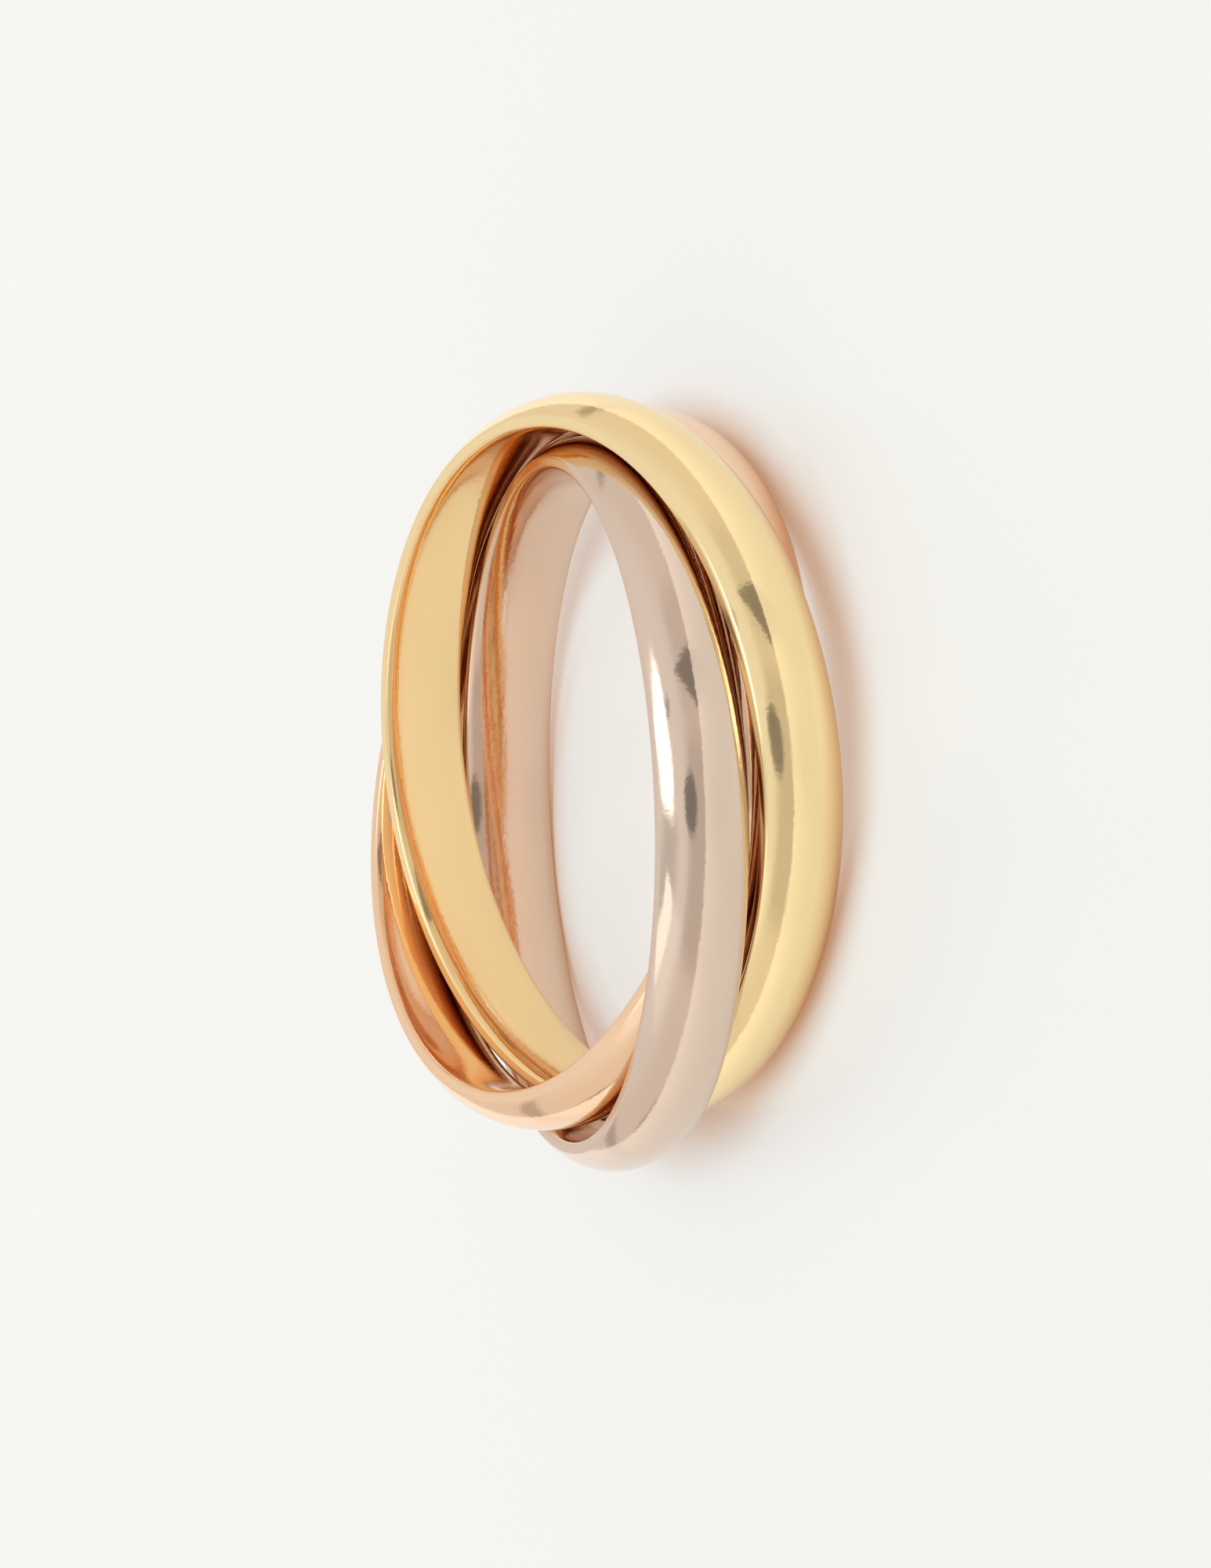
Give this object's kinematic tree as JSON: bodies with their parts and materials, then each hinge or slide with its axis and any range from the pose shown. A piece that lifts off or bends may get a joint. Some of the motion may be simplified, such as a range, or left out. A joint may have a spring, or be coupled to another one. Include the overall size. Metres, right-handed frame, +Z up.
{
  "type": "rolling ring",
  "caption": "Finger ring of interlocked plain domed bands in yellow, white and rose gold, each free to roll through the others, lying flat on its side.",
  "frame": {"origin": "middle of the ring's footprint, on the surface that it lies on", "axes": "+Z up from the surface, through the finger hole; +X to the right and +Y away from someone who looks at the ring as it is first shown, over the white band's highest point"},
  "size_m": [0.0212, 0.021, 0.0059],
  "materials": {
    "yellow_gold": "polished yellow gold",
    "white_gold": "polished warm white gold",
    "rose_gold": "polished rose gold"
  },
  "bodies": {
    "rose_band": {"rose_band": "rose_gold"},
    "white_band": {"white_band": "white_gold"},
    "yellow_band": {"yellow_band": "yellow_gold"}
  },
  "joints": [
    {"name": "white_roll", "type": "hinge", "parent": "rose_band", "child": "white_band", "pos_m": [-0.00057, -0.00027, 0.00282], "axis": [-0.0439, 0.1628, 0.9857], "continuous": true},
    {"name": "yellow_roll", "type": "hinge", "parent": "rose_band", "child": "yellow_band", "pos_m": [0.00063, -0.00058, 0.00286], "axis": [-0.1206, -0.124, 0.9849], "continuous": true}
  ]
}
